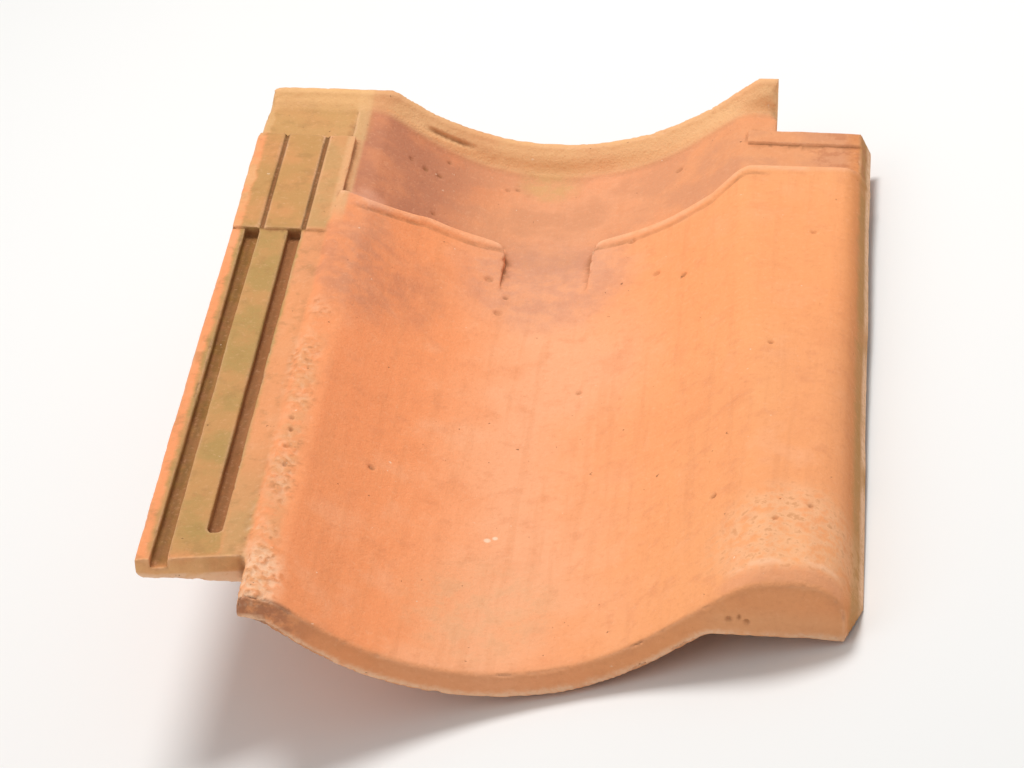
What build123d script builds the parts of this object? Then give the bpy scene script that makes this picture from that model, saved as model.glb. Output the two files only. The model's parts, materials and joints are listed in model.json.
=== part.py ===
# Interlocking clay pantile, one fired piece, lying weather side up. Millimetres.
# X runs from the side lock (left) to the roll (right), Y from the nose to the head, Z is up.
# It is drawn level, with Z = 0 at the flat bottom line of the roll, and set down on the floor at the end.
import os
from math import cos, radians, sin, tan

from build123d import *

# Whole tile
tile_length = 342.0
tile_width = 250.0
clay = 10.0
reach = 400.0

# Side lock: a flat ledge along the left side
ledge_width = 38.0
ledge_top = 5.0
ledge_thick = 8.5
ledge_round = 3.5
ledge_foot = 22.0
ledge_foot_slant = 6.0
foot_band_width = 12.0
foot_band_drop = 4.0

# Lip: the raised edge between the ledge and the trough
lip_rise = 2.6
lip_slant = 2.0
shoulder_width = 11.5
shoulder_drop = 3.2
corner_round = 8.0

# Trough: two straight slopes run into one round bottom
left_slope = 36.0
left_straight = 11.8
right_slope = 37.0

# Roll: high and round at the nose, low and flat at the head; its width starts where the trough's round ends
roll_width = 72.8
crest_nose = 24.8
crest_head = 10.2
crest_lip = 3.0
crest_lip_length = 6.0
flank_lean = 26.0
left_round_nose = 25.0
left_round_head = 8.0
right_round_nose = 17.0
right_round_head = 7.0

# Nose
nose_cut_x = 6.3
nose_cut_y = 17.5
lip_band_height = 2.0
lip_band_width = 12.0
lip_band_setback = 3.0

# Head: the notch at its right, the rim along the rest with its inner side sloped
head_corner_round = 6.0
notch_width = 39.0
notch_depth = 25.0
rim_width = 8.0
rim_flat = 3.5
rim_left = 7.1
rim_rise = 2.5
rim_slope_drop = 3.7
rim_straight = 3.0
horn_top = 19.5
roll_strip_width = 9.5
roll_strip_rise = 1.6

# Recess at the head that the nose of the next tile lies in, measured from the head
recess_depth = 3.5
recess_at_lip = 81.0
recess_at_left = 69.0
recess_at_right = 66.0
recess_at_roll = 55.0
recess_round = 10.0
mouth_width = 35.0
mouth_offset = 2.5
mouth_fade = 30.0
mouth_length = 80.0

# Channels of the side lock, and the pad with two thin grooves above them
channel_depth = 4.0
outer_channel_x = 5.3
outer_channel_width = 5.7
inner_channel_x = 22.3
inner_channel_width = 5.2
inner_channel_foot = 15.0
pad_start = 108.0
pad_end = 36.0
pad_rise = 1.0
groove_width = 1.5
groove_depth = 3.0
cross_recess_depth = 3.0

# Nib that hooks on the batten
nib_offset = 10.0
nib_width = 36.0
nib_length = 30.0
nib_height = 15.0
nib_draft = 5.0
nib_corner_round = 4.0
nib_foot_round = 1.5

# Underside of the roll: two closed channels with a rib between, under a roof that thins to the head
roll_wall = 10.0
roll_channel_width = 11.0
roll_rib = 8.0
roll_nose_wall = 12.0
roll_head_wall = 37.0
roll_roof_nose = 11.0
roll_roof_head = 6.4

# On a level floor it lies on the nib's corner, the underside of its nose and the arris of its roll
rest_lean = 16.93
rest_pitch = 1.81

mean_slope = radians((left_slope + right_slope) / 2)
left_rate = tan(radians(left_slope))
right_rate = tan(radians(right_slope))
ledge_bottom = ledge_top - ledge_thick
lip_x = ledge_width + lip_slant
lip_top = ledge_top + lip_rise
shoulder_x = lip_x + shoulder_width
shoulder_z = lip_top - shoulder_drop

# The trough's round fills what the lip, the left slope and the roll leave of the width
round_start = shoulder_x + left_straight
round_end = tile_width - roll_width
trough_radius = (round_end - round_start) / (sin(radians(left_slope)) + sin(radians(right_slope)))
trough_x = round_start + trough_radius * sin(radians(left_slope))
trough_bottom = shoulder_z - left_straight * left_rate - trough_radius * (1 - cos(radians(left_slope)))

# The corner where the two slopes would meet below the round
round_end_z = trough_bottom + trough_radius * (1 - cos(radians(right_slope)))
fall = (shoulder_z - round_end_z + right_rate * (round_end - shoulder_x)) / (left_rate + right_rate)
corner_x = shoulder_x + fall
corner_z = shoulder_z - left_rate * fall
under_z = corner_z - clay / cos(mean_slope)

horn_x = tile_width - notch_width
notch_y = tile_length - notch_depth
rim_y = tile_length - rim_width


def left_x(z, corner=corner_z):
    """Where the left slope that runs down to this corner height stands at height z."""
    return corner_x - (z - corner) / left_rate


def right_x(z, corner=corner_z):
    """Where the right slope that runs down to this corner height stands at height z."""
    return corner_x + (z - corner) / right_rate


def flank_x(z):
    return tile_width - z * tan(radians(flank_lean))


def along(y, at_nose, at_head):
    """A size that changes evenly from the nose to the head."""
    return at_nose + (at_head - at_nose) * y / tile_length


def crest(y):
    return along(y, crest_nose, crest_head)


def round_corner(x, z, radius):
    """Rounds the corner of the section being drawn that lies nearest to this point."""
    fillet(vertices().sort_by_distance((x, z, 0))[0], radius)


def round_underside():
    """Rounds the four corners that every section has on its underside."""
    round_corner(0, ledge_bottom, ledge_round)
    round_corner(corner_x, under_z, trough_radius + clay)
    round_corner(right_x(0, under_z), 0, corner_round)
    round_corner(left_x(ledge_bottom, under_z), ledge_bottom, corner_round)


def tile_section(y, top):
    """Whole cross section of the tile at y, with the roll's crest at this height."""
    with BuildSketch(Plane.XZ.offset(-y)) as drawing:
        with BuildLine():
            Polyline(
                (0, ledge_bottom),
                (0, ledge_top),
                (ledge_width, ledge_top),
                (lip_x, lip_top),
                (shoulder_x, shoulder_z),
                (corner_x, corner_z),
                (right_x(top), top),
                (flank_x(top), top),
                (tile_width, 0),
                (right_x(0, under_z), 0),
                (corner_x, under_z),
                (left_x(ledge_bottom, under_z), ledge_bottom),
                close=True,
            )
        make_face()
        round_corner(corner_x, corner_z, trough_radius)
        round_corner(shoulder_x, shoulder_z, corner_round)
        round_corner(right_x(top), top, along(y, left_round_nose, left_round_head))
        round_corner(flank_x(top), top, along(y, right_round_nose, right_round_head))
        round_underside()
    return drawing.sketch


def air_section(y, depth):
    """All that lies above the weather side at y, sunk into it by this depth."""
    top = crest(y) - depth
    low = corner_z - depth / cos(mean_slope)
    shoulder = shoulder_z - depth
    with BuildSketch(Plane.XZ.offset(-y)) as drawing:
        with BuildLine():
            Polyline(
                (ledge_width, reach),
                (ledge_width, lip_top - depth),
                (left_x(shoulder, low), shoulder),
                (corner_x, low),
                (right_x(top, low), top),
                (tile_width + clay, top),
                (tile_width + clay, reach),
                close=True,
            )
        make_face()
        round_corner(corner_x, low, trough_radius)
        round_corner(left_x(shoulder, low), shoulder, corner_round)
        round_corner(right_x(top, low), top, left_round_head)
    return drawing.sketch


def rim_section(y, drop):
    """Cross section of the rim along the head, with its top this much below the flat."""
    low = corner_z + (rim_rise - drop) / cos(mean_slope)
    left = rim_left - drop
    right = horn_top - drop
    with BuildSketch(Plane.XZ.offset(-y)) as drawing:
        with BuildLine():
            Polyline(
                (0, ledge_bottom),
                (0, left),
                (left_x(left, low), left),
                (corner_x, low),
                (right_x(right, low), right),
                (horn_x, right),
                (horn_x, 0),
                (right_x(0, under_z), 0),
                (corner_x, under_z),
                (left_x(ledge_bottom, under_z), ledge_bottom),
                close=True,
            )
        make_face()
        straight = (left_straight - rim_straight) / cos(radians(left_slope))
        round_corner(corner_x, low, trough_radius + straight / tan(mean_slope))
        round_corner(left_x(left, low), left, corner_round)
        round_underside()
    return drawing.sketch


with BuildPart() as recess:
    mouth_left = trough_x - mouth_width / 2 + mouth_offset
    mouth_right = mouth_left + mouth_width
    mouth_y = tile_length - mouth_length
    left_y = tile_length - recess_at_left
    right_y = tile_length - recess_at_right
    lip_y = tile_length - recess_at_lip
    roll_y = tile_length - recess_at_roll
    beyond = tile_width + clay
    loft((air_section(mouth_y, recess_depth), air_section(tile_length, recess_depth)), ruled=True)
    with BuildSketch(Plane.XY.offset(-reach)):
        with BuildLine():
            FilletPolyline(
                (mouth_right, mouth_y),
                (mouth_right, right_y),
                (round_end + clay, right_y),
                (horn_x - clay, roll_y - 2),
                (beyond, roll_y),
                radius=recess_round,
            )
            Polyline((beyond, roll_y), (beyond, tile_length), (ledge_width, tile_length), (ledge_width, lip_y))
            FilletPolyline(
                (ledge_width, lip_y),
                (shoulder_x, lip_y),
                (round_start + clay, left_y),
                (mouth_left, left_y),
                (mouth_left, mouth_y),
                radius=recess_round,
            )
            Line((mouth_left, mouth_y), (mouth_right, mouth_y))
        make_face()
    extrude(amount=2 * reach, mode=Mode.INTERSECT)

with BuildPart() as mouth:
    fade_y = mouth_y - mouth_fade
    loft((air_section(fade_y, -recess_depth / 10), air_section(mouth_y, recess_depth)), ruled=True)
    with BuildSketch(Plane.XY.offset(-reach)):
        with Locations((mouth_left, fade_y)):
            Rectangle(mouth_width, mouth_fade, align=Align.MIN)
    extrude(amount=2 * reach, mode=Mode.INTERSECT)

with BuildPart() as rim:
    rim_edge = rim_section(tile_length - rim_flat, 0)
    extrude(rim_edge, amount=-rim_flat)
    loft((rim_section(rim_y, rim_slope_drop), rim_edge), ruled=True)
    with BuildSketch(Plane.XZ.offset(-notch_y)):
        with BuildLine():
            strip_top = crest(notch_y) - recess_depth + roll_strip_rise
            strip_x = right_x(strip_top, corner_z - recess_depth / cos(mean_slope))
            Polyline(
                (strip_x, strip_top),
                (flank_x(strip_top), strip_top),
                (tile_width, 0),
                (strip_x, 0),
                close=True,
            )
        make_face()
    extrude(amount=roll_strip_width)

with BuildPart() as roll_channels:
    outer_x = tile_width - roll_wall - roll_channel_width
    channels_end = notch_y - roll_head_wall
    for x in (outer_x, outer_x - roll_rib - roll_channel_width):
        with BuildSketch(Plane.YZ.offset(x)):
            with BuildLine():
                Polyline(
                    (roll_nose_wall, -clay),
                    (channels_end, -clay),
                    (channels_end, crest(channels_end) - roll_roof_head),
                    (roll_nose_wall, crest(roll_nose_wall) - roll_roof_nose),
                    close=True,
                )
            make_face()
        extrude(amount=roll_channel_width)

with BuildPart() as nib:
    nib_foot = Plane.XY.offset(trough_bottom - clay - nib_height)
    with BuildSketch(nib_foot):
        with Locations((trough_x - nib_offset, tile_length - nib_length / 2)):
            Rectangle(nib_width, nib_length)
    extrude(amount=nib_height + clay / 2)
    flanks = faces().filter_by(Axis.X)
    hook = faces().sort_by(Axis.Y)[0]
    draft(flanks + [hook], neutral_plane=nib_foot, angle=-nib_draft)
    hook_corners = faces().sort_by(Axis.Y)[0].edges().filter_by(Axis.X, reverse=True)
    fillet(hook_corners, nib_corner_round)
    fillet(edges().group_by(Axis.Z)[0], nib_foot_round)

with BuildPart() as lip_band:
    band_z = under_z - lip_band_height
    core_z = under_z + clay / 2
    with BuildSketch(Plane.XZ.offset(-lip_band_setback - lip_band_width)):
        with BuildLine():
            Polyline(
                (left_x(ledge_bottom, core_z), ledge_bottom),
                (corner_x, core_z),
                (right_x(0, core_z), 0),
                (right_x(0, band_z), 0),
                (corner_x, band_z),
                (left_x(ledge_bottom, band_z), ledge_bottom),
                close=True,
            )
        make_face()
        round_corner(corner_x, band_z, trough_radius + clay)
        round_corner(corner_x, core_z, trough_radius + clay / 2)
    extrude(amount=lip_band_width)

with BuildPart() as foot_band:
    band_end = ledge_foot + ledge_foot_slant / 2 + foot_band_width
    band_foot = ledge_bottom - foot_band_drop
    with BuildSketch(Plane.XZ.offset(-band_end)):
        with BuildLine():
            Polyline(
                (ledge_round, ledge_bottom),
                (ledge_width, band_foot),
                (left_x(band_foot, under_z), band_foot),
                (left_x(ledge_bottom, under_z) + clay / 2, ledge_bottom),
                close=True,
            )
        make_face()
    extrude(amount=foot_band_width + 2 * ledge_foot_slant)

with BuildPart() as side_lock:
    channel_end = tile_length - pad_start
    cross_start = tile_length - pad_end
    inner_foot = ledge_foot + inner_channel_foot + inner_channel_width / 2
    with BuildSketch(Plane.XY.offset(ledge_top - channel_depth)):
        with Locations((outer_channel_x, -clay)):
            Rectangle(outer_channel_width, channel_end + clay, align=Align.MIN)
        with Locations((inner_channel_x, inner_foot)):
            Rectangle(inner_channel_width, channel_end - inner_foot, align=Align.MIN)
        with Locations((inner_channel_x + inner_channel_width / 2, inner_foot)):
            Circle(inner_channel_width / 2)
    extrude(amount=2 * channel_depth)
    with BuildSketch(Plane.XY.offset(ledge_top - cross_recess_depth)):
        with Locations((-clay, cross_start)):
            Rectangle(ledge_width + clay, rim_y - cross_start, align=Align.MIN)
    extrude(amount=2 * channel_depth)

with BuildPart() as pad:
    with BuildSketch(Plane.XY.offset(ledge_bottom + ledge_round)):
        with Locations((0, channel_end)):
            Rectangle(lip_x, cross_start - channel_end, align=Align.MIN)
    extrude(amount=ledge_thick - ledge_round + pad_rise)
    with BuildSketch(Plane.XY.offset(ledge_top + pad_rise - groove_depth)):
        for x in (outer_channel_x + outer_channel_width, inner_channel_x + inner_channel_width):
            with Locations((x, channel_end - clay)):
                Rectangle(groove_width, tile_length, align=Align.MIN)
    extrude(amount=reach, mode=Mode.SUBTRACT)

with BuildPart() as corners:
    with BuildSketch(Plane.XY.offset(-reach)):
        with Locations((0, tile_length)):
            Rectangle(2 * head_corner_round, 2 * head_corner_round)
        with Locations((head_corner_round, tile_length - head_corner_round)):
            Circle(head_corner_round, mode=Mode.SUBTRACT)
        with Locations((horn_x, notch_y)):
            Rectangle(notch_width + clay, notch_depth + clay, align=Align.MIN)
        with BuildLine():
            Polyline(
                (-ledge_width, -clay),
                (ledge_width, -clay),
                (ledge_width, ledge_foot + ledge_foot_slant / 2),
                (-ledge_width, ledge_foot - 3 * ledge_foot_slant / 2),
                close=True,
            )
        make_face()
        with BuildLine():
            Polyline(
                (tile_width - nose_cut_x, 0),
                (tile_width - nose_cut_x, -clay),
                (tile_width + clay, -clay),
                (tile_width + clay, nose_cut_y),
                (tile_width, nose_cut_y),
                close=True,
            )
        make_face()
    extrude(amount=2 * reach)

with BuildPart() as tile:
    nose_face = tile_section(0, crest_nose - crest_lip)
    nose_crest = tile_section(crest_lip_length, crest(crest_lip_length))
    loft((nose_face, nose_crest), ruled=True)
    loft((nose_crest, tile_section(tile_length, crest_head)), ruled=True)
    add(recess.part, mode=Mode.SUBTRACT)
    add(mouth.part, mode=Mode.SUBTRACT)
    add(rim.part)
    add(side_lock.part, mode=Mode.SUBTRACT)
    add(pad.part)
    add(nib.part)
    add(lip_band.part)
    add(foot_band.part)
    add(roll_channels.part, mode=Mode.SUBTRACT)
    add(corners.part, mode=Mode.SUBTRACT)

with BuildPart() as roof_tile:
    leaning = Rot(X=rest_pitch, Y=rest_lean) * tile.part
    box = leaning.bounding_box()
    add(Pos(-box.center().X, -box.center().Y, -box.min.Z) * leaning)

roof_tile.part.label = "roof_tile"
os.makedirs("parts", exist_ok=True)
export_step(roof_tile.part, "parts/roof_tile.step")
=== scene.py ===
# The clay roof tile's looks: the worn, fired clay surface around its exact form.
import json
from math import radians

import bpy
import numpy as np
from mathutils import Euler, Matrix, Vector, noise

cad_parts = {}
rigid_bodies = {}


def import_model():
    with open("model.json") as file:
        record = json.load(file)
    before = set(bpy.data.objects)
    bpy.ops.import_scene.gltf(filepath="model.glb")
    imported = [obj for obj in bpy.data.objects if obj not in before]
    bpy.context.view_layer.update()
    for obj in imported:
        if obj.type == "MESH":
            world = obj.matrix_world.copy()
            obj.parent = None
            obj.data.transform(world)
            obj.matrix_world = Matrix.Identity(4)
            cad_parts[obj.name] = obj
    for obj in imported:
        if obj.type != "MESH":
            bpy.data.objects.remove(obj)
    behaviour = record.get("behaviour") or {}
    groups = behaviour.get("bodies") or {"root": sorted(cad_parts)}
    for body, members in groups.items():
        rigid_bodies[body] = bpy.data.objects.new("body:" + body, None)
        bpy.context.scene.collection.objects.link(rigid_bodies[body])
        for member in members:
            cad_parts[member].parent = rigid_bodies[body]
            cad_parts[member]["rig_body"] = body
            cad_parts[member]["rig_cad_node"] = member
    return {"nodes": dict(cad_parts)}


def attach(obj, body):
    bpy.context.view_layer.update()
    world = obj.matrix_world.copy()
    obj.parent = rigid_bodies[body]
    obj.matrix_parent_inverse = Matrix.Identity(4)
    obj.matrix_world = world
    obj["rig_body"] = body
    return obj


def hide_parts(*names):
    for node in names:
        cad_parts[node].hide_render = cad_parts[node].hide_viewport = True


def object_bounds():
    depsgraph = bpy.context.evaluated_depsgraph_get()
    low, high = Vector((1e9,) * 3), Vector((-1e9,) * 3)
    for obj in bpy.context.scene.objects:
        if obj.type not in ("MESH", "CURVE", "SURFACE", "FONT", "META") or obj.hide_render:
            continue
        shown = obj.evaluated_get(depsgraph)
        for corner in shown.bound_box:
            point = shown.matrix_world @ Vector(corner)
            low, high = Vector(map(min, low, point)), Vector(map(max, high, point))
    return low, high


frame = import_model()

cad_box = [list(corner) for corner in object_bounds()]

# The tile's own level frame, in which it is drawn: X across, Y from the nose to the head, Z up,
# from the left end of the nose. On the floor it leans on its nib, its nose and the arris of its roll.
LEAN = radians(16.93)
PITCH = radians(1.81)
ORIGIN = (-0.119507, -0.172266, 0.072212)
TURN = Matrix.Rotation(PITCH, 4, "X") @ Matrix.Rotation(LEAN, 4, "Y")
PLACE = Matrix.Translation(ORIGIN) @ TURN

# Places on the tile that the wear and the colours follow, in metres
WIDTH = 0.250
LENGTH = 0.342
LEDGE_TOP = 0.005
LIP_X = 0.040
FOOT_Y = 0.022
FOOT_SLANT = 0.158
PAD_Y = 0.234
CROSS_Y = 0.306
RIM_Y = 0.334

# The recess at the head: its edge on the weather side, from left to right, and the mouth in it
RECESS_X = (0.038, 0.0515, 0.0733, 0.1040, 0.1052, 0.1390, 0.1402, 0.1872, 0.2010, 0.2600)
RECESS_Y = (0.261, 0.261, 0.2730, 0.2730, 0.2440, 0.2440, 0.2760, 0.2760, 0.2850, 0.2870)
MOUTH_X = (0.1046, 0.1396)

# Where the lip runs out into the recess, and where the recess's bead and lines start beside it
LIP_END = (0.255, 0.262)
BEAD_START = (0.044, 0.050)

# Where hands and the next tile rub the lip, and how far the recess's edge is rubbed to each side
RUBBED_LIP = (0.0365, 0.0440)
RUBBED_EDGE = (-0.002, 0.002)

# The nose's left corner, which is knocked off: its middle and half its width and length
CORNER_AT = (0.043, 0.012)
CORNER_SIZE = (0.013, 0.026)

# The side lock: its stretches, painted channel shadows and painted-shade grooves from left to right,
# how softly their colours end, and the height on the ledge's side down to which they reach
LOCK_MIDDLE = (0.0035, 0.0285)
LOCK_STRIP = (0.0285, LIP_X - 0.0025)
CHANNEL_SHADOWS = ((0.0062, 0.0088), (0.0230, 0.0255))
SHADED_PAD_GROOVES = ((0.0108, 0.0128), (0.0273, 0.0293))
FRAYED_END = 0.0012
LEDGE_SIDE = LEDGE_TOP - 0.011

# How far the clay is out of true: its sag, its lumps and the drag along it
SAG = 0.00035
LUMPS = 0.00010
DRAG = 0.00006

# How deep or high each mark in the clay is
CHIP_DEPTH = 0.0009
CRUMB_DEPTH = 0.00055
GROOVE_DEPTH = 0.0010
SCORE_DEPTH = 0.0007
PIT_DEPTH = 0.0008
BEAD_HEIGHT = 0.00045
LINE_DEPTH = 0.00035

# Score lines on the underside: where they are counted from, the step from one to the next, and
# the ends of their field with how softly they run out
SCORE_X = 0.055
SCORE_STEP = 0.0068
SCORED_X = (0.053, 0.189)
SCORED_Y = (0.047, 0.299)
SCORED_END = 0.003

# Pits in the weather side: X, Y and half the width of each
PITS = (
    (0.1003, 0.2433, 0.0024),
    (0.1060, 0.2208, 0.0022),
    (0.1556, 0.2674, 0.0017),
    (0.1670, 0.2363, 0.0018),
    (0.1781, 0.2244, 0.0018),
    (0.0719, 0.0993, 0.0015),
    (0.1420, 0.1660, 0.0012),
    (0.2140, 0.1500, 0.0013),
    (0.1970, 0.0620, 0.0014),
    (0.2280, 0.2320, 0.0012),
    (0.2190, 0.0360, 0.0015),
    (0.2310, 0.0440, 0.0013),
    (0.1080, 0.2320, 0.0012),
    (0.0425, 0.1048, 0.0014),
    (0.0433, 0.0979, 0.0012),
    (0.0432, 0.0878, 0.0015),
    (0.0442, 0.0770, 0.0013),
    (0.0619, 0.3115, 0.0014),
    (0.0677, 0.3106, 0.0017),
    (0.0734, 0.3110, 0.0015),
    (0.0761, 0.3240, 0.0012),
    (0.0804, 0.2770, 0.0013),
    (0.0739, 0.2820, 0.0014),
    (0.1008, 0.3184, 0.0014),
    (0.1048, 0.3198, 0.0012),
    (0.1717, 0.3172, 0.0018),
)

# Pits in the end of the roll: X, Z and half the width of each
NOSE_PITS = ((0.2052, 0.0070, 0.0016), (0.2085, 0.0078, 0.0011), (0.2112, 0.0062, 0.0013))

# Spots of the weather side with a colour of their own: X, Y and half the width of each
LOAM = (0.118, 0.326, 0.016)
SMOKE = (0.122, 0.246, 0.044)
STAIN = (0.055, 0.215, 0.040)
WARM = (0.222, 0.215, 0.075)
PINK = (0.049, 0.263, 0.013)
GREY = (0.118, 0.034, 0.036)
NICKED = (0.243, 0.300, 0.026)
RUBBED = (0.224, 0.030, 0.034)
LIME = ((0.1161, 0.0753, 0.0016), (0.1188, 0.0769, 0.0013))

# The light colour of clay where its skin is knocked off
BROKEN_CLAY = (0.93, 0.620, 0.400)

# The size of the even faces that the surface is worked in, and the most triangles that it keeps
VOXEL = 0.001
MOST_TRIANGLES = 190000

# How many times points are averaged with their neighbours, to find an edge and to rub it soft
NEAR = 10
SOFT = 20
SOFTER = 30

# The pale floor, and how little it lies under the tile
FLOOR_SIZE = 8.0
FLOOR_GAP = 0.0005

# The photograph's view of the leaning tile, through a longer lens
SENSOR_WIDTH = 36.0
LENS = 123.67
CAMERA_AT = (0.31361, -1.11471, 0.68653)
CAMERA_TURN = (radians(58.762), radians(17.345), radians(6.137))


def deselect_all():
    if bpy.context.object and bpy.context.object.mode != "OBJECT":
        bpy.ops.object.mode_set(mode="OBJECT")
    bpy.ops.object.select_all(action="DESELECT")


def pick(piece):
    deselect_all()
    piece.select_set(True)
    bpy.context.view_layer.objects.active = piece


def smooth_step(low, high, value):
    """0 below low, 1 above high, with a smooth run between them."""
    t = np.clip((value - low) / (high - low), 0.0, 1.0)
    return t * t * (3.0 - 2.0 * t)


def within(value, low, high, soft):
    """1 between low and high, with soft ends."""
    start = smooth_step(low - soft, low + soft, value)
    return start * (1 - smooth_step(high - soft, high + soft, value))


def noise_at(points, size, seed, octaves):
    """Smooth noise from about -1 to 1 at each point, with lumps of this size in metres."""
    shift = Vector((seed * 3.17, seed * 1.31, seed * 2.23))
    values = [noise.fractal(Vector(p) / size + shift, 0.6, 2.0, octaves) for p in points.tolist()]
    return np.array(values)


def averaged(values, edges, times):
    """Each point's values averaged with its neighbours' this many times."""
    first, second = edges.T
    size = len(values)
    count = np.bincount(first, minlength=size) + np.bincount(second, minlength=size) + 1.0
    columns = []
    for column in values.reshape(size, -1).T:
        for _ in range(times):
            total = np.bincount(first, column[second], size) + np.bincount(second, column[first], size)
            column = (column + total) / count
        columns.append(column)
    return np.array(columns).T.reshape(values.shape)


def read_points(mesh):
    points = np.empty(len(mesh.vertices) * 3)
    mesh.vertices.foreach_get("co", points)
    return points.reshape(-1, 3)


def read_normals(mesh):
    normals = np.empty(len(mesh.vertices) * 3)
    mesh.vertex_normals.foreach_get("vector", normals)
    return normals.reshape(-1, 3)


def read_edges(mesh):
    edges = np.empty(len(mesh.edges) * 2, dtype=np.int32)
    mesh.edges.foreach_get("vertices", edges)
    return edges.reshape(-1, 2)


def write_points(mesh, points):
    mesh.vertices.foreach_set("co", points.ravel())
    mesh.update()


def mark(mesh, name, values):
    """Keeps a value from 0 to 1 for each point, for the clay's colours."""
    kept = mesh.attributes.new(name, "FLOAT", "POINT")
    kept.data.foreach_set("value", np.clip(values, 0.0, 1.0).astype(np.float32))


def fired_body():
    """A copy of the tile with even, fine faces, in its own level frame."""
    pick(frame["nodes"]["roof_tile"])
    bpy.ops.object.duplicate()
    body = bpy.context.object
    body.name = "fired_tile"
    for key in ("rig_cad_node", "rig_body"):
        if key in body:
            del body[key]
    body.parent = None
    body.data.transform(PLACE.inverted())
    pick(body)
    bpy.ops.mesh.customdata_custom_splitnormals_clear()
    bpy.ops.object.mode_set(mode="EDIT")
    bpy.ops.mesh.select_all(action="SELECT")
    bpy.ops.mesh.remove_doubles(threshold=0.000001)
    bpy.ops.object.mode_set(mode="OBJECT")
    body.data.remesh_voxel_size = VOXEL
    body.data.remesh_voxel_adaptivity = 0.0
    bpy.ops.object.voxel_remesh()
    return body


class Skin:
    """The tile's surface: its points, and what the wear at each of them follows."""

    def __init__(self, mesh):
        self.points = read_points(mesh)
        self.normals = read_normals(mesh)
        self.edges = read_edges(mesh)
        self.x, self.y, self.z = self.points.T

        # How far each point lies past the recess's waved edge, and how much it faces up, sharply
        # and as the surface around it does
        self.past = self.y - np.interp(self.x, RECESS_X, RECESS_Y)
        self.up = smooth_step(0.0, 0.3, self.normals[:, 2])
        self.leaning = averaged(self.normals, self.edges, SOFT)[:, 2]

        self.rub_soft()
        self.compare_with_neighbours()
        self.knock_edges()

    def rub_soft(self):
        """Rubs the recess's waved edge, the lip, the nose's upper edge and the rim's foot soft."""
        upward = smooth_step(0.0, 0.2, self.leaning)
        waved = within(self.past, *RUBBED_EDGE, 0.001) * upward * smooth_step(0.044, 0.048, self.x)
        lip = within(self.x, *RUBBED_LIP, 0.0015) * upward * (1 - smooth_step(*LIP_END, self.y))
        nose = (1 - smooth_step(0.004, 0.009, self.y)) * smooth_step(0.05, 0.30, self.leaning)
        rub = np.maximum(np.maximum(0.55 * waved, 0.80 * lip), 0.85 * nose)
        soft = averaged(self.points, self.edges, SOFT)
        self.points += (soft - self.points) * rub[:, None]
        rub = 0.90 * within(self.y, RIM_Y - 0.004, RIM_Y + 0.0035, 0.0025) * upward
        self.points += (averaged(soft, self.edges, SOFTER) - self.points) * rub[:, None]

    def compare_with_neighbours(self):
        """Finds the edges, which stand out from the surface around, and the inner corners."""
        self.near = averaged(self.points, self.edges, NEAR)
        stands_out = ((self.points - self.near) * self.normals).sum(axis=1)
        self.edge = smooth_step(0.00015, 0.00060, stands_out)
        self.hollow = smooth_step(0.00008, 0.00045, -stands_out)
        self.patches = noise_at(self.points, size=0.030, seed=3, octaves=2)
        self.nicks = noise_at(self.points, size=0.0080, seed=4, octaves=4)
        self.crumbs = noise_at(self.points, size=0.0022, seed=5, octaves=2)

    def knock_edges(self):
        """Finds what is knocked, most at the lip and the nose; what the tile rests on isn't."""
        x, y, z = self.x, self.y, self.z
        lip = smooth_step(0.034, 0.037, x) * (1 - smooth_step(0.047, 0.052, x))
        lip *= smooth_step(0.001, 0.003, z) * (1 - smooth_step(0.17, 0.21, y))
        self.lip = lip * smooth_step(-0.45, 0.25, self.patches)
        self.nose = 1 - smooth_step(0.004, 0.010, y)
        across, along = (x - CORNER_AT[0]) / CORNER_SIZE[0], (y - CORNER_AT[1]) / CORNER_SIZE[1]
        corner = 1 - smooth_step(0.35, 1.0, np.hypot(across, along))
        self.corner = corner * smooth_step(0.1, 0.5, self.normals[:, 2])

        height = self.points @ np.array(PLACE.to_3x3())[2] + PLACE[2][3]
        free = smooth_step(0.0015, 0.006, height)
        knocked = np.clip(0.35 + 0.5 * self.lip + 0.35 * self.nose + 0.6 * self.patches, 0.1, 1.3)
        self.rounded = self.edge * free * np.clip(0.75 + 0.5 * self.nicks, 0.2, 1.3) * knocked
        deepest = smooth_step(0.18, 0.42, self.nicks + 0.25 * self.lip + 0.15 * self.nose - 0.08)
        self.chip = self.edge * free * deepest * knocked
        self.rough = np.maximum(self.lip, self.corner) * free


def unevenness(skin):
    """Sag, lumps, and the drag of the clay along the tile's length, in metres."""
    drawn = skin.points * np.array((1.0, 0.06, 1.0))
    sag = SAG * noise_at(skin.points, size=0.075, seed=1, octaves=2)
    lumps = LUMPS * noise_at(skin.points, size=0.012, seed=2, octaves=2)
    drag = DRAG * noise_at(drawn, size=0.0040, seed=6, octaves=2)
    return sag + lumps + drag


def rim_groove(skin):
    """The thin groove at the rim's left, where the tool that shaped the rim set off."""
    groove = 1 - smooth_step(0.0003, 0.0013, np.abs(skin.y - RIM_Y - 0.0006))
    groove *= smooth_step(0.064, 0.070, skin.x) * (1 - smooth_step(0.080, 0.088, skin.x))
    return groove * skin.up


def score_lines(skin):
    """Lines along the underside of the trough, left by the press."""
    step = (skin.x - SCORE_X) / SCORE_STEP
    scored = smooth_step(0.34, 0.48, np.abs((step % 1.0) - 0.5))
    scored *= within(skin.x, *SCORED_X, SCORED_END) * within(skin.y, *SCORED_Y, SCORED_END)
    return scored * smooth_step(0.3, 0.8, -skin.normals[:, 2])


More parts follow.
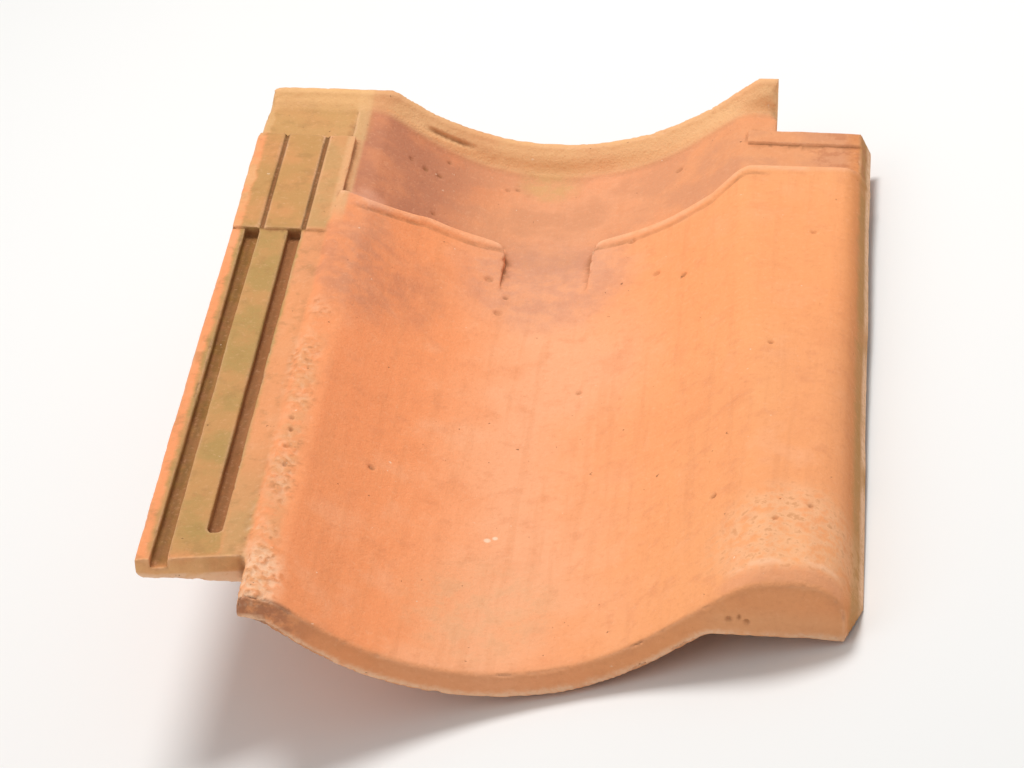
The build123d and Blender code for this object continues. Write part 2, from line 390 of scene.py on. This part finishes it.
def round_pits(skin):
    """Where grains of lime or stones have dropped out."""
    pit = np.zeros(len(skin.points))
    upper = smooth_step(0.3, 0.7, skin.normals[:, 2])
    for px, py, size in PITS:
        away = np.hypot(skin.x - px, skin.y - py) / size
        pit = np.maximum(pit, (1 - smooth_step(0.5, 1.0, away)) * upper)
    front = smooth_step(0.5, 0.8, -skin.normals[:, 1]) * (skin.y < 0.003)
    for px, pz, size in NOSE_PITS:
        away = np.hypot(skin.x - px, skin.z - pz) / size
        pit = np.maximum(pit, (1 - smooth_step(0.5, 1.0, away)) * front)
    return pit


def recess_marks(skin):
    """The recess, its bead and the lines beside that; the mouth has no bead and no line."""
    x, y, past = skin.x, skin.y, skin.past
    mouth = within(x, *MOUTH_X, 0.0006)
    sunk = smooth_step(-0.0004, 0.0008, past) * skin.up * smooth_step(0.040, 0.044, x)
    sunk *= 1 - mouth * (1 - smooth_step(0.235, 0.272, y))
    beside = skin.up * smooth_step(*BEAD_START, x) * (1 - mouth)
    bead = within(past, -0.0050, -0.0006, 0.0010) * beside
    line = within(past, 0.0004, 0.0016, 0.0005) + 1.3 * within(past, -0.0086, -0.0064, 0.0008)
    line *= beside * (1 - smooth_step(0.200, 0.215, x))
    return sunk, bead, line


def low_edges(skin):
    """The lower edges that catch the light: under the nose and the ledge's foot, along the roll."""
    x, y, z = skin.x, skin.y, skin.z
    down = smooth_step(0.12, 0.28, -skin.leaning) * smooth_step(0.10, 0.45, -skin.normals[:, 1])
    down *= smooth_step(-0.9, 0.0, skin.patches + 0.5 * skin.nicks)
    nose = down * (1 - smooth_step(0.002, 0.004, y))
    foot = down * within(y, 0.008, 0.032, 0.002) * (1 - smooth_step(0.038, 0.042, x))
    arris = smooth_step(WIDTH - 0.0022, WIDTH - 0.0012, x) * (1 - smooth_step(0.003, 0.005, z))
    arris *= smooth_step(-0.7, 0.1, skin.patches)
    return np.maximum(np.maximum(nose, foot), arris)


def worn_by_hand(body):
    """Moves the surface as pressing, firing and handling the clay do, and marks where it is worn."""
    mesh = body.data
    skin = Skin(mesh)
    groove = rim_groove(skin)
    pit = round_pits(skin)
    sunk, bead, line = recess_marks(skin)

    move = -CHIP_DEPTH * skin.chip - CRUMB_DEPTH * skin.rough * np.clip(0.4 + skin.crumbs, 0.0, 1.0)
    move += unevenness(skin)
    move -= GROOVE_DEPTH * groove + SCORE_DEPTH * score_lines(skin) + PIT_DEPTH * pit
    move += BEAD_HEIGHT * bead - LINE_DEPTH * line
    moved = (skin.near - skin.points) * skin.rounded[:, None]
    write_points(mesh, skin.points + moved + skin.normals * move[:, None])

    # Light clay on what is knocked or rubbed
    low_edge = low_edges(skin)
    pale = skin.edge * np.clip(0.35 + 0.7 * skin.patches + 0.2 * skin.lip - 0.1 * skin.nose, 0.0, 1.0)
    pale *= 1 - 0.6 * within(skin.x, 0.036, 0.043, 0.001) * (1 - smooth_step(*LIP_END, skin.y))
    scraped = skin.lip * smooth_step(-0.15, 0.45, skin.crumbs + 0.4 * skin.nicks)
    scraped *= 1 - smooth_step(0.045, 0.050, skin.x)
    broken = skin.corner * smooth_step(-0.6, 0.2, skin.crumbs + 0.5 * skin.nicks)
    broken = np.maximum(0.6 * skin.chip + 0.55 * scraped, broken)
    mark(mesh, "worn", np.maximum(pale, 0.90 * low_edge))
    mark(mesh, "chipped", np.maximum(broken, 0.85 * low_edge))

    # Dirt and painted shade in what lies deep
    dirt_and_shade = skin.hollow * (1 - 0.85 * within(skin.y, RIM_Y - 0.012, LENGTH, 0.002))
    dirt_and_shade = np.maximum(dirt_and_shade, 0.8 * skin.rough * smooth_step(0.25, 0.6, -skin.crumbs))
    # The lines beside the bead are darkened with dirt and painted shade
    in_line = np.minimum(line, 1.0) * (0.55 + 0.45 * smooth_step(-0.6, 0.3, skin.patches))
    dirt_and_shade = np.maximum(dirt_and_shade, 0.90 * in_line)
    mark(mesh, "hollow", np.maximum(np.maximum(dirt_and_shade, groove), pit))
    mark(mesh, "sunk", sunk)
    mark(mesh, "bead", bead)


def thinned(body):
    """Brings the piece to the size that it is kept at, with its fine faces where it bends."""
    count = sum(len(face.vertices) - 2 for face in body.data.polygons)
    if count > MOST_TRIANGLES:
        pick(body)
        fewer = body.modifiers.new("fewer faces", "DECIMATE")
        fewer.ratio = MOST_TRIANGLES / count
        bpy.ops.object.modifier_apply(modifier=fewer.name)


def back_in_place(body):
    """Lays the piece down on the floor again, within the box of the exact tile."""
    mesh = body.data
    mesh.transform(PLACE)
    low, high = np.array(cad_box)
    write_points(mesh, np.clip(read_points(mesh), low, high))
    pick(body)
    bpy.ops.object.shade_smooth()


tile = fired_body()
worn_by_hand(tile)
thinned(tile)
back_in_place(tile)
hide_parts("roof_tile")
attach(tile, "root")


class Value:
    """A shader socket that can be added, multiplied and so on in an expression."""

    def __init__(self, tree, socket):
        self.tree = tree
        self.socket = socket

    def math(self, operation, *values):
        return self.tree.node("ShaderNodeMath", {"operation": operation}, *values)

    def __add__(self, other):
        return self.math("ADD", self, other)

    __radd__ = __add__

    def __mul__(self, other):
        return self.math("MULTIPLY", self, other)

    __rmul__ = __mul__

    def __sub__(self, other):
        return self.math("SUBTRACT", self, other)

    def __rsub__(self, other):
        return self.math("SUBTRACT", other, self)

    def __truediv__(self, other):
        return self.math("DIVIDE", self, other)


class Tree:
    """A material's nodes, made one after another."""

    def __init__(self, name):
        self.material = bpy.data.materials.new(name)
        self.material.use_nodes = True
        self.nodes = self.material.node_tree.nodes
        self.links = self.material.node_tree.links
        self.nodes.clear()

    def node(self, kind, settings, *values, output=0, **named):
        made = self.nodes.new(kind)
        for key, value in settings.items():
            setattr(made, key, value)
        for key, value in list(enumerate(values)) + list(named.items()):
            socket = made.inputs[key if isinstance(key, int) else key.replace("_", " ")]
            if isinstance(value, Value):
                self.links.new(value.socket, socket)
            else:
                socket.default_value = value
        return Value(self, made.outputs[output]) if made.outputs else None

    def noise(self, place, size, detail=3.0, rough=0.55):
        """Noise, mostly from 0.25 to 0.75, with lumps of this size in metres."""
        kind = "ShaderNodeTexNoise"
        return self.node(kind, {}, Vector=place, Scale=1.0 / size, Detail=detail, Roughness=rough)

    def between(self, value, low, high, run="SMOOTHSTEP"):
        """0 at low and before it, 1 at high and past it."""
        settings = {"interpolation_type": run, "clamp": True}
        return self.node("ShaderNodeMapRange", settings, Value=value, From_Min=low, From_Max=high)

    def blend(self, factor, first, second):
        """The first colour where the factor is 0, the second where it is 1."""
        made = self.nodes.new("ShaderNodeMix")
        made.data_type = "RGBA"
        for index, value in ((0, factor), (6, first), (7, second)):
            if isinstance(value, Value):
                self.links.new(value.socket, made.inputs[index])
            else:
                made.inputs[index].default_value = (*value, 1.0)
        return Value(self, made.outputs[2])

    def shown(self, **inputs):
        """The finished material, with these inputs on its surface."""
        surface = self.node("ShaderNodeBsdfPrincipled", {}, **inputs)
        self.node("ShaderNodeOutputMaterial", {}, Surface=surface)
        return self.material


class Clay(Tree):
    """The fired clay: places on the tile, noise in the clay, and a colour that is laid in coats."""

    def __init__(self):
        super().__init__("fired clay")
        self.here = self.node("ShaderNodeTexCoord", {}, output=3)
        self.x, self.y, self.z = self.own(0), self.own(1), self.own(2)
        self.worn = self.kept("worn")
        self.chipped = self.kept("chipped")
        self.hollow = self.kept("hollow")
        self.sunk = self.kept("sunk")
        self.bead = self.kept("bead")

        self.cloud = self.noise(self.here, size=0.085)
        self.mottle = self.noise(self.here, size=0.020, detail=4.0)
        self.blotch = self.noise(self.here, size=0.0075, detail=4.0, rough=0.6)
        self.grain = self.noise(self.here, size=0.0020, detail=4.0, rough=0.65)
        lengthwise = (1.0, 0.05, 1.0)
        drawn = self.node("ShaderNodeVectorMath", {"operation": "MULTIPLY"}, self.here, lengthwise)
        self.drag = self.noise(drawn, size=0.0045, rough=0.6)

        # X with an edge that wanders widely, and with one that is frayed
        self.wandering = self.x + ((self.cloud - 0.5) * 0.05 + (self.mottle - 0.5) * 0.02)
        self.frayed = self.x + (self.blotch - 0.5) * 0.004
        self.colour = None

    def own(self, axis):
        """The tile's own X, Y or Z at each point, in metres."""
        row = PLACE.inverted()[axis]
        settings = {"operation": "DOT_PRODUCT"}
        return self.node("ShaderNodeVectorMath", settings, self.here, tuple(row[:3]), output=1) + row[3]

    def kept(self, name):
        """What the wear marked on the points under this name."""
        return self.node("ShaderNodeAttribute", {"attribute_name": name}, output=2)

    def band(self, value, low, high, soft):
        """1 between low and high, with soft ends."""
        start = self.between(value, low - soft, low + soft)
        return start * (1 - self.between(value, high - soft, high + soft))

    def spot(self, px, py, size):
        """A soft round spot on the weather side."""
        dx, dy = (self.x - px) / size, (self.y - py) / size
        return 1 - self.between(dx * dx + dy * dy, 0.1, 1.0)

    def patchy(self, lumps, low, high, least):
        """1 in the patches where this noise is high, and the least share between them."""
        return least + (1 - least) * self.between(lumps, low, high)

    def lay(self, cover, tint):
        """Lays a coat over the colour so far, as dense as its cover from 0 to 1."""
        self.colour = self.blend(cover, self.colour, tint)


def fired_colours(clay):
    """From the deeper orange of the left slope to the yellower roll, with peach in the trough."""
    cloud, mottle, blotch, between = clay.cloud, clay.mottle, clay.blotch, clay.between
    left_slope, roll = (0.895, 0.322, 0.130), (0.90, 0.380, 0.155)
    clay.colour = clay.blend(between(clay.wandering, 0.07, 0.20), left_slope, roll)
    trough = clay.band(clay.wandering, 0.100, 0.160, 0.025)
    clay.lay(trough * 0.85, (0.895, 0.415, 0.218))
    clay.lay(between(cloud, 0.50, 0.66) * 0.45, (0.88, 0.335, 0.135))
    clay.lay(between(mottle, 0.50, 0.72) * 0.30, (0.93, 0.455, 0.250))
    clay.lay(between(mottle, 0.46, 0.30) * 0.30, (0.76, 0.270, 0.105))
    clay.lay(between(blotch, 0.52, 0.72) * 0.34, (0.70, 0.260, 0.115))
    clay.lay(between(clay.drag, 0.50, 0.68) * 0.22, (0.70, 0.270, 0.110))


def weather_side(clay):
    """The recess is duller, and plum towards the lip; smoke, stains and a bloom lie around it."""
    x, y, mottle, blotch, between = clay.x, clay.y, clay.mottle, clay.blotch, clay.between
    dull = clay.sunk * clay.patchy(mottle, 0.35, 0.60, 0.45)
    clay.lay(dull * 0.90, (0.67, 0.295, 0.150))
    loam = clay.spot(*LOAM) * clay.patchy(blotch, 0.36, 0.60, 0.40)
    clay.lay(loam * 0.55, (0.62, 0.390, 0.150))
    plum = clay.sunk * (1 - between(clay.wandering, 0.068, 0.105))
    clay.lay(plum * clay.patchy(mottle, 0.30, 0.56, 0.55) * 0.80, (0.47, 0.180, 0.100))
    smoke = clay.spot(*SMOKE) * clay.patchy(blotch, 0.36, 0.60, 0.45)
    clay.lay(smoke * 0.55, (0.60, 0.290, 0.190))
    stain = clay.spot(*STAIN) * clay.patchy(blotch, 0.34, 0.62, 0.35)
    clay.lay(stain * 0.50, (0.55, 0.215, 0.115))
    bloom = clay.band(x, 0.043, 0.060, 0.007) * clay.band(y, 0.180, 0.262, 0.012)
    clay.lay(bloom * clay.patchy(blotch, 0.34, 0.60, 0.40) * 0.40, (0.60, 0.270, 0.155))
    clay.lay(clay.spot(*WARM) * 0.40, (0.93, 0.335, 0.120))
    # The bead is painted lighter: a painted highlight along its raised edge
    clay.lay(clay.bead * clay.patchy(blotch, 0.35, 0.60, 0.45) * 0.70, (0.95, 0.470, 0.255))
    pink = clay.spot(*PINK) * clay.patchy(blotch, 0.38, 0.58, 0.30)
    clay.lay(pink * 0.45, (0.80, 0.400, 0.265))
    lip = clay.band(x, 0.0385, 0.0480, 0.0025) * (1 - between(y, 0.120, 0.200))
    clay.lay(lip * between(blotch, 0.30, 0.60) * 0.55, (0.68, 0.350, 0.155))
    grey = clay.spot(*GREY) * clay.patchy(blotch, 0.40, 0.62, 0.30)
    clay.lay(grey * 0.40, (0.74, 0.430, 0.225))


def side_lock(clay):
    """Ochre between the lock's ridges, olive in its channels, peach along its edges."""
    x, y, z, frayed = clay.x, clay.y, clay.z, clay.frayed
    mottle, blotch, band, between = clay.mottle, clay.blotch, clay.band, clay.between
    level = between(z, LEDGE_SIDE, LEDGE_TOP - 0.004)
    patchy = clay.patchy(mottle, 0.34, 0.58, 0.72)
    far = between(y, PAD_Y - 0.003, PAD_Y + 0.003)
    ends = between(y, 0.100, 0.060) + far
    middle = band(frayed, *LOCK_MIDDLE, FRAYED_END) * between(y, FOOT_Y - 0.004, FOOT_Y + 0.006)
    clay.lay(middle * level * patchy * (1 - 0.20 * far), (0.460, 0.275, 0.092))
    strip = band(frayed, *LOCK_STRIP, FRAYED_END) * level
    clay.lay(strip * ends * patchy * 0.85, (0.52, 0.315, 0.125))
    clay.lay(strip * (1 - ends) * 0.40, (0.66, 0.330, 0.145))
    head = between(y, CROSS_Y, CROSS_Y + 0.003) * (1 - between(x, LIP_X - 0.001, LIP_X + 0.006)) * level
    clay.lay(head * patchy * 0.80, (0.60, 0.330, 0.125))

    # Earth in the channels, and the shadow along one side of each
    deep = 1 - between(z, LEDGE_TOP - 0.0032, LEDGE_TOP - 0.0006)
    channel = deep * middle * between(z, LEDGE_SIDE, LEDGE_TOP - 0.006) * (1 - far)
    earth = clay.blend(between(x, 0.013, 0.020), (0.330, 0.175, 0.034), (0.420, 0.170, 0.058))
    clay.lay(channel * clay.patchy(mottle, 0.36, 0.56, 0.60), earth)
    left, right = (band(frayed, *shadow, FRAYED_END) for shadow in CHANNEL_SHADOWS)
    clay.lay(channel * (left + right) * 0.55, (0.110, 0.058, 0.014))
    grimy = level * (1 - between(x, LIP_X - 0.004, LIP_X)) * between(blotch, 0.50, 0.68)
    clay.lay(grimy * 0.30, (0.36, 0.190, 0.065))
    # Painted shade in the pad's two grooves
    left, right = (band(x, *groove, 0.0003) for groove in SHADED_PAD_GROOVES)
    clay.lay((left + right) * band(y, PAD_Y, CROSS_Y, 0.001) * level * 0.90, (0.150, 0.075, 0.018))
    beside = band(x, LIP_X - 0.003, LIP_X + 0.003, 0.001) * between(y, PAD_Y, PAD_Y + 0.02)
    clay.lay(beside * 0.60, (0.66, 0.420, 0.200))

    # The slanted foot in a lighter ochre that is partly painted light, with light clay along its lower
    # edge, and the pad's outer edge
    front = 1 - between(y - x * FOOT_SLANT, FOOT_Y - 0.0026, FOOT_Y - 0.0014)
    front = front * (1 - between(x, LIP_X - 0.003, LIP_X))
    # The foot's front is painted lighter: partly its ochre, partly painted light against the shade
    # under the ledge
    clay.lay(front * clay.patchy(mottle, 0.36, 0.58, 0.50) * 0.85, (0.88, 0.490, 0.215))
    sill = front * (1 - between(z, -0.0024, -0.0012)) * between(blotch, 0.34, 0.54)
    clay.lay(sill * 0.70, BROKEN_CLAY)
    outer = (1 - between(frayed, 0.0025, 0.0040)) * far * between(mottle, 0.38, 0.56)
    clay.lay(outer * 0.55, (0.70, 0.430, 0.190))


def rim_and_roll(clay):
    """The rim and the roll's lower flank have taken on an ochre bloom; the rim's slope has painted
    light, the flank painted shade.
    """
    x, y, z, blotch, between = clay.x, clay.y, clay.z, clay.blotch, clay.between
    patchy = clay.patchy(clay.mottle, 0.34, 0.58, 0.72)
    rim = between(y, RIM_Y - 0.005, RIM_Y + 0.001)
    clay.lay(rim * patchy * 0.75, (0.88, 0.500, 0.220))
    # The rim's slope is painted lighter: painted light that evens out its shade
    lit_slope = clay.band(y, RIM_Y - 0.002, RIM_Y + 0.004, 0.0015)
    lit_slope = lit_slope * between(x, LIP_X + 0.005, LIP_X + 0.025)
    clay.lay(lit_slope * patchy * 0.60, (0.98, 0.600, 0.300))
    # The roll's lower flank is painted darker: painted shade
    shaded_flank = between(clay.frayed, WIDTH - 0.013, WIDTH - 0.006) * (1 - between(z, 0.010, 0.020))
    clay.lay(shaded_flank * 0.75, (0.70, 0.260, 0.085))
    foot = between(x + (blotch - 0.5) * 0.003, WIDTH - 0.0060, WIDTH - 0.0035)
    clay.lay(foot * (1 - between(z, 0.006, 0.018)) * patchy * 0.75, (0.43, 0.245, 0.080))
    clay.lay(clay.spot(*NICKED) * between(blotch, 0.48, 0.62) * 0.55, (0.52, 0.185, 0.080))
    rubbed = clay.spot(*RUBBED)
    crumbly = clay.noise(clay.here, size=0.0040, rough=0.6)
    clay.lay(rubbed * between(crumbly, 0.36, 0.56) * 0.55, (0.90, 0.510, 0.280))
    clay.lay(rubbed * between(crumbly, 0.56, 0.68) * 0.60, (0.62, 0.270, 0.110))


def nose(clay):
    """The nose's face in painted shade, bruised at its left; the roll's end is rounded over, with
    redder painted shade on the rounding and a painted highlight above it.
    """
    x, y, z, mottle, blotch, between = clay.x, clay.y, clay.z, clay.mottle, clay.blotch, clay.between
    face = 1 - between(y, 0.0012, 0.0030)
    # The nose's face is painted darker: painted shade
    clay.lay(face * clay.patchy(mottle, 0.36, 0.60, 0.60) * 0.60, (0.76, 0.315, 0.135))
    end = face * between(x, 0.190, 0.205) * (1 - between(z, 0.006, 0.014))
    clay.lay(end * 0.45, (0.84, 0.430, 0.210))
    bruise = face * (1 - between(x, 0.048, 0.070)) * between(blotch, 0.40, 0.56)
    clay.lay(bruise * 0.65, (0.34, 0.125, 0.070))
    # A redder band of painted shade on the rounding of the roll's end
    shaded_brow = (1 - between(y, 0.005, 0.012)) * between(z, 0.012, 0.018) * (1 - face)
    clay.lay(shaded_brow * 0.50, (0.74, 0.310, 0.160))
    # A lighter band behind the rounding: rubbed clay with a painted highlight
    lit_crest = clay.band(y, 0.0095, 0.0130, 0.0015) * between(z, 0.014, 0.020)
    clay.lay(lit_crest * between(blotch, 0.38, 0.56) * 0.50, (0.95, 0.560, 0.340))


def wear(clay):
    """Dirt and painted shade in the hollows, light clay on rubbed and knocked edges."""
    # Dirt and painted shade in the hollows
    clay.lay(clay.hollow * clay.patchy(clay.blotch, 0.35, 0.60, 0.45) * 0.68, (0.33, 0.130, 0.050))
    clay.lay(clay.worn * clay.patchy(clay.grain, 0.35, 0.60, 0.40) * 0.75, (0.95, 0.540, 0.320))
    clay.lay(clay.chipped * clay.patchy(clay.grain, 0.34, 0.58, 0.40) * 0.70, BROKEN_CLAY)


def specks(clay, pits):
    """Specks of lime, the sand of the clay itself, and small dark pits."""
    fine = clay.between(clay.noise(clay.here, size=0.0030, detail=2.0), 0.745, 0.780)
    fine = fine * clay.between(clay.mottle, 0.42, 0.62)
    first, second = (clay.spot(*lump) for lump in LIME)
    lime = clay.between(fine * 0.6 + (first + second) * 0.7, 0.0, 1.0, run="LINEAR")
    clay.lay(lime, (0.95, 0.740, 0.540))
    clay.lay(clay.between(clay.grain, 0.52, 0.72) * 0.20, (0.62, 0.235, 0.090))
    clay.lay(clay.between(clay.grain, 0.46, 0.30) * 0.16, (0.97, 0.520, 0.300))
    clay.lay(pits * 0.65, (0.25, 0.095, 0.040))


def fine_relief(clay, pits):
    """The feel of the clay's skin, too fine for faces: a height in metres."""
    finest = clay.noise(clay.here, size=0.0008, rough=0.6)
    height = clay.grain * 0.00030 + clay.blotch * 0.00025 + clay.drag * 0.00012 + finest * 0.00018
    height = height - pits * 0.0005 - clay.chipped * clay.grain * 0.0006
    return clay.node("ShaderNodeBump", {}, Strength=1.0, Distance=1.0, Height=height)


def fired_clay():
    """Orange terracotta, weathered and worn, coat over coat."""
    clay = Clay()
    fired_colours(clay)
    weather_side(clay)
    side_lock(clay)
    rim_and_roll(clay)
    nose(clay)
    wear(clay)
    pits = clay.between(clay.noise(clay.here, size=0.0036, rough=0.7), 0.275, 0.245)
    specks(clay, pits)
    bumped = fine_relief(clay, pits)
    rough = 0.80 + 0.14 * clay.between(clay.mottle, 0.35, 0.65)
    return clay.shown(Base_Color=clay.colour, Roughness=rough, Specular_IOR_Level=0.25, Normal=bumped)


tile.data.materials.clear()
tile.data.materials.append(fired_clay())


def studio_floor():
    """A pale floor that keeps the tile's shadow."""
    deselect_all()
    bpy.ops.mesh.primitive_plane_add(size=FLOOR_SIZE, location=(0, 0, -FLOOR_GAP))
    floor = bpy.context.object
    floor.name = "studio_floor"
    bpy.ops.object.transform_apply(location=True, rotation=True, scale=True)
    pale = Tree("pale floor")
    floor.data.materials.append(pale.shown(Base_Color=(0.86, 0.85, 0.83, 1.0), Roughness=0.9))


def studio_world():
    """Soft light from all sides, behind which the camera sees white."""
    world = bpy.data.worlds.new("studio")
    bpy.context.scene.world = world
    world.use_nodes = True
    nodes, links = world.node_tree.nodes, world.node_tree.links
    nodes.clear()

    def glow(strength):
        shade = nodes.new("ShaderNodeBackground")
        shade.inputs["Color"].default_value = (1.0, 1.0, 1.0, 1.0)
        shade.inputs["Strength"].default_value = strength
        return shade.outputs[0]

    seen = nodes.new("ShaderNodeLightPath")
    mix = nodes.new("ShaderNodeMixShader")
    out = nodes.new("ShaderNodeOutputWorld")
    links.new(seen.outputs["Is Camera Ray"], mix.inputs[0])
    links.new(glow(0.45), mix.inputs[1])
    links.new(glow(1.0), mix.inputs[2])
    links.new(mix.outputs[0], out.inputs["Surface"])


def softbox(name, location, size, power):
    """A round lamp that shines at the tile."""
    data = bpy.data.lights.new(name, "AREA")
    data.shape = "DISK"
    data.size = size
    data.energy = power
    lamp = bpy.data.objects.new(name, data)
    bpy.context.scene.collection.objects.link(lamp)
    lamp.location = location
    lamp.rotation_euler = (-Vector(location)).to_track_quat("-Z", "Y").to_euler()


def photo_camera():
    """Looks at the tile from where the photograph does, tilted as the tile leans."""
    data = bpy.data.cameras.new("camera")
    data.sensor_width = SENSOR_WIDTH
    data.lens = LENS
    camera = bpy.data.objects.new("camera", data)
    bpy.context.scene.collection.objects.link(camera)
    camera.location = CAMERA_AT
    camera.rotation_euler = Euler(CAMERA_TURN, "XYZ")
    bpy.context.scene.camera = camera


studio_floor()
studio_world()
softbox("key", location=(0.08, 0.50, 1.65), size=0.7, power=21.0)
softbox("fill", location=(-0.9, -0.9, 1.2), size=1.4, power=3.0)
photo_camera()
bpy.context.scene.view_settings.view_transform = "Standard"
